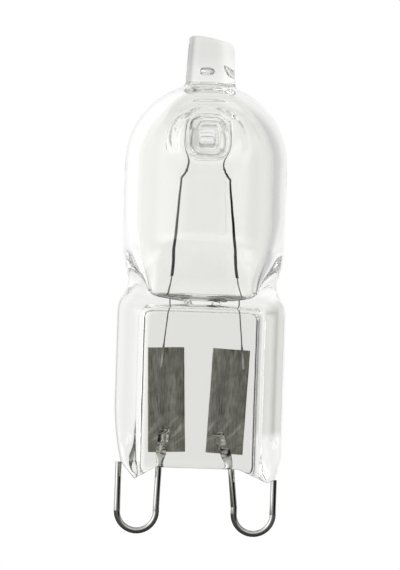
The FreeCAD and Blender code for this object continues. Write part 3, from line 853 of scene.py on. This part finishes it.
# %% The room: back wall, right side and left window
ROOM_BACK = 0.915
world = bpy.data.worlds.new("light tent")
bpy.context.scene.world = world
world.use_nodes = True
world.cycles.sampling_method = "NONE"
paths = bpy.context.scene.cycles
paths.max_bounces, paths.glossy_bounces, paths.transmission_bounces = 32, 32, 32
tree = world.node_tree
tree.nodes.clear()
look = add(tree, "ShaderNodeTexCoord")
parts = add(tree, "ShaderNodeSeparateXYZ", [("Vector", look, "Generated")])
upright = add(tree, "ShaderNodeMath", [(0, parts, "Z")], operation="ABSOLUTE")
above = add(
    tree, "ShaderNodeMapRange", [("Value", upright, "Value")], [("From Min", 0.1), ("From Max", 0.4)]
)
front_wall = add(
    tree, "ShaderNodeMapRange", [("Value", above, "Result")], [("To Min", 0.28), ("To Max", 0.86)]
)
walls = add(
    tree, "ShaderNodeMapRange", [("Value", parts, "Y"), ("To Min", front_wall, "Result")],
    [("From Min", -0.6), ("From Max", 0.4), ("To Max", ROOM_BACK)], interpolation_type="SMOOTHSTEP",
)
right = add(
    tree, "ShaderNodeMapRange", [("Value", parts, "X")],
    [("From Min", 0.28), ("From Max", 0.65), ("To Min", 1.0), ("To Max", 0.7)],
    interpolation_type="SMOOTHSTEP",
)
window = add(
    tree, "ShaderNodeMapRange", [("Value", parts, "Y")],
    [("From Min", -0.2), ("From Max", 0.4), ("To Min", 1.3), ("To Max", 0.0)],
)
left = add(
    tree, "ShaderNodeMapRange", [("Value", parts, "X"), ("To Min", window, "Result")],
    [("From Min", -0.8), ("From Max", -0.3), ("To Max", 0.0)], interpolation_type="SMOOTHSTEP",
)
lift = add(
    tree, "ShaderNodeMapRange", [("Value", parts, "X")],
    [("From Min", -0.2), ("From Max", -0.02), ("To Min", 0.14), ("To Max", 0.0)],
)
shade = add(tree, "ShaderNodeMath", [(0, walls, "Result"), (1, right, "Result")], operation="MULTIPLY")
shade = add(tree, "ShaderNodeMath", [(0, shade, "Value"), (1, left, "Result")], operation="ADD")
shade = add(tree, "ShaderNodeMath", [(0, shade, "Value"), (1, lift, "Result")], operation="ADD")

# %% The room: up and down, flag and dark corner
steep = add(
    tree, "ShaderNodeMapRange", [("Value", upright, "Value")],
    [("From Min", 0.6), ("From Max", 0.9), ("To Min", 1.0), ("To Max", 0.7)],
)
beside = add(tree, "ShaderNodeMath", [(0, parts, "Y")], [(1, 0.1)], operation="SUBTRACT")
beside = add(tree, "ShaderNodeMath", [(0, beside, "Value")], operation="ABSOLUTE")
flag = add(
    tree, "ShaderNodeMapRange", [("Value", beside, "Value")],
    [("From Min", 0.05), ("From Max", 0.5), ("To Min", 0.25), ("To Max", 1.0)],
    interpolation_type="SMOOTHSTEP",
)
level = add(
    tree, "ShaderNodeMapRange", [("Value", above, "Result")], [("To Min", 0.95), ("To Max", 0.0)]
)
in_front = add(
    tree, "ShaderNodeMapRange", [("Value", parts, "Y"), ("To Min", level, "Result")],
    [("From Min", -0.1), ("From Max", 0.35), ("To Max", 0.0)],
)
to_right = add(
    tree, "ShaderNodeMapRange", [("Value", parts, "X")], [("From Min", 0.08), ("From Max", 0.45)]
)
dark = add(
    tree, "ShaderNodeMath", [(0, in_front, "Result"), (1, to_right, "Result")], operation="MULTIPLY"
)
dark = add(tree, "ShaderNodeMath", [(1, dark, "Value")], [(0, 1.0)], operation="SUBTRACT")
shade = add(tree, "ShaderNodeMath", [(0, shade, "Value"), (1, steep, "Result")], operation="MULTIPLY")
shade = add(tree, "ShaderNodeMath", [(0, shade, "Value"), (1, flag, "Result")], operation="MULTIPLY")
shade = add(tree, "ShaderNodeMath", [(0, shade, "Value"), (1, dark, "Value")], operation="MULTIPLY")

# %% What each kind of ray sees of the world
WHITE = (1, 1, 1, 1)
ray = add(tree, "ShaderNodeLightPath")
room = add(tree, "ShaderNodeBackground", [("Strength", shade, "Value")], [("Color", WHITE)])
backdrop = add(tree, "ShaderNodeBackground", values=[("Color", WHITE), ("Strength", 1.0)])
fill = add(tree, "ShaderNodeBackground", values=[("Color", WHITE), ("Strength", 0.55)])
polished = add(
    tree, "ShaderNodeMath", [(0, ray, "Is Glossy Ray"), (1, ray, "Is Transmission Ray")],
    operation="MAXIMUM",
)
seen = add(
    tree, "ShaderNodeMixShader",
    [(0, polished, "Value"), (1, fill, "Background"), (2, room, "Background")],
)
seen = add(
    tree, "ShaderNodeMixShader",
    [(0, ray, "Is Camera Ray"), (1, seen, "Shader"), (2, backdrop, "Background")],
)
add(tree, "ShaderNodeOutputWorld", [("Surface", seen, "Shader")])
print("world:", len(tree.nodes), "nodes")

# %% [markdown]
# ## Floor
# The lamp stands on white paper. The camera sees it as bright as the backdrop, with a trace of real
# paper mixed in that keeps a faint shadow. Through the quartz it glows with a painted shadow, darker
# right under the lamp, and in a mirror it is almost black, as painted shade. A plain white floor
# would be simpler, but it would light the foot's edges and the wires from below and leave them pale.

# %% Floor material
floor_material = bpy.data.materials.new("matt white paper")
floor_material.use_nodes = True
tree = floor_material.node_tree
tree.nodes.clear()
ray = add(tree, "ShaderNodeLightPath")
paper = add(tree, "ShaderNodeBsdfDiffuse", values=[("Color", linear("F2F2F0"))])
place = add(tree, "ShaderNodeTexCoord")
near = add(
    tree, "ShaderNodeMapping", [("Vector", place, "Object")], [("Scale", (per(10), per(100 / 17), 0))]
)
near = add(tree, "ShaderNodeVectorMath", [(0, near, "Vector")], operation="LENGTH")
# Painted shadow: for rays through the quartz, the floor's glow is darker close to the lamp.
painted_floor_shadow = add(
    tree, "ShaderNodeMapRange", [("Value", near, "Value")],
    [("From Min", 0.6), ("From Max", 1.4), ("To Min", 0.25), ("To Max", ROOM_BACK)],
)
# Painted shade: mirrored rays get no glow, so the floor is almost black in metal and in the quartz's skin.
painted_floor_shade = add(
    tree, "ShaderNodeMapRange", [("Value", ray, "Is Transmission Ray"), ("To Max", painted_floor_shadow, "Result")],
    [("To Min", 0.0)],
)
bright = add(
    tree, "ShaderNodeMapRange", [("Value", ray, "Is Camera Ray"), ("To Min", painted_floor_shade, "Result")],
    [("To Max", 1.03)],
)
glow = add(tree, "ShaderNodeEmission", [("Strength", bright, "Result")])
polished = add(
    tree, "ShaderNodeMath", [(0, ray, "Is Glossy Ray"), (1, ray, "Is Transmission Ray")],
    operation="MAXIMUM",
)
clean = add(
    tree, "ShaderNodeMath", [(0, polished, "Value"), (1, ray, "Is Camera Ray")], operation="MAXIMUM"
)
share = add(tree, "ShaderNodeMath", [(0, clean, "Value")], [(1, 0.93)], operation="MULTIPLY")
mix = add(
    tree, "ShaderNodeMixShader", [(0, share, "Value"), (1, paper, "BSDF"), (2, glow, "Emission")]
)
add(tree, "ShaderNodeOutputMaterial", [("Surface", mix, "Shader")])

# %% Floor piece
FLOOR_REACH = 25
reach, floor_z = FLOOR_REACH * MM, cad_box[0].z
floor_mesh = bpy.data.meshes.new("floor")
floor_mesh.from_pydata(
    [(-reach, -reach, floor_z), (reach, -reach, floor_z), (reach, reach, floor_z), (-reach, reach, floor_z)],
    [], [(0, 1, 2, 3)],
)
floor = show("floor", floor_mesh, floor_material)
print("floor at", round(floor_z * 1000, 2), "mm")

# %% [markdown]
# ## Lamps and camera
# Two softboxes light the paper and cast the faint shadow. Mirrored and refracted rays don't see
# them, so they leave no bright squares in the quartz. The camera has a long lens, as for a product
# picture, so the lamp shows hardly any perspective, and its small turn, tilt and roll follow the
# photograph. The distance is worked out from the height of the view, so the lens can be changed
# without a change in the lamp's size in the picture.

# %% Lamps
def softbox(name, place, aim, size, watts):
    """A square area lamp that points at a place, unseen in glass and metal."""
    lamp = bpy.data.lights.new(name, "AREA")
    lamp.size = size
    lamp.energy = watts
    holder = bpy.data.objects.new(name, lamp)
    bpy.context.scene.collection.objects.link(holder)
    holder.location = place
    holder.visible_glossy = False
    holder.visible_transmission = False
    holder.rotation_euler = (Vector(aim) - Vector(place)).to_track_quat("-Z", "Y").to_euler()
    return holder


middle = (0, 0, 0.014)
for lamp in (
    softbox("left softbox", (-0.35, -0.22, 0.22), middle, 0.3, 3.0),
    softbox("top softbox", (0.05, 0.05, 0.5), middle, 0.4, 3.0),
):
    print(lamp.name, lamp.data.energy, "W")

# %% Camera
LENS, VIEW_H, VIEW_MIDDLE = 300.0, 43.85, (-0.17, 0, 14.08)
AZIMUTH, ELEVATION, ROLL = math.radians(-2.0), math.radians(1.0), math.radians(1.88)
camera_data = bpy.data.cameras.new("camera")
camera_data.lens = LENS
camera_data.clip_start = 0.005
camera = bpy.data.objects.new("camera", camera_data)
bpy.context.scene.collection.objects.link(camera)
bpy.context.scene.camera = camera
back = Vector((
    math.sin(AZIMUTH) * math.cos(ELEVATION), -math.cos(AZIMUTH) * math.cos(ELEVATION), math.sin(ELEVATION)
))
distance = LENS * VIEW_H / camera_data.sensor_width * MM
camera.location = Vector(VIEW_MIDDLE) * MM + back * distance
turn = (-back).to_track_quat("-Z", "Y").to_matrix().to_4x4() @ Matrix.Rotation(ROLL, 4, "Z")
camera.rotation_euler = turn.to_euler()
bpy.context.scene.view_settings.view_transform = "Standard"
print("camera at", [round(c * 1000, 1) for c in camera.location], "mm")
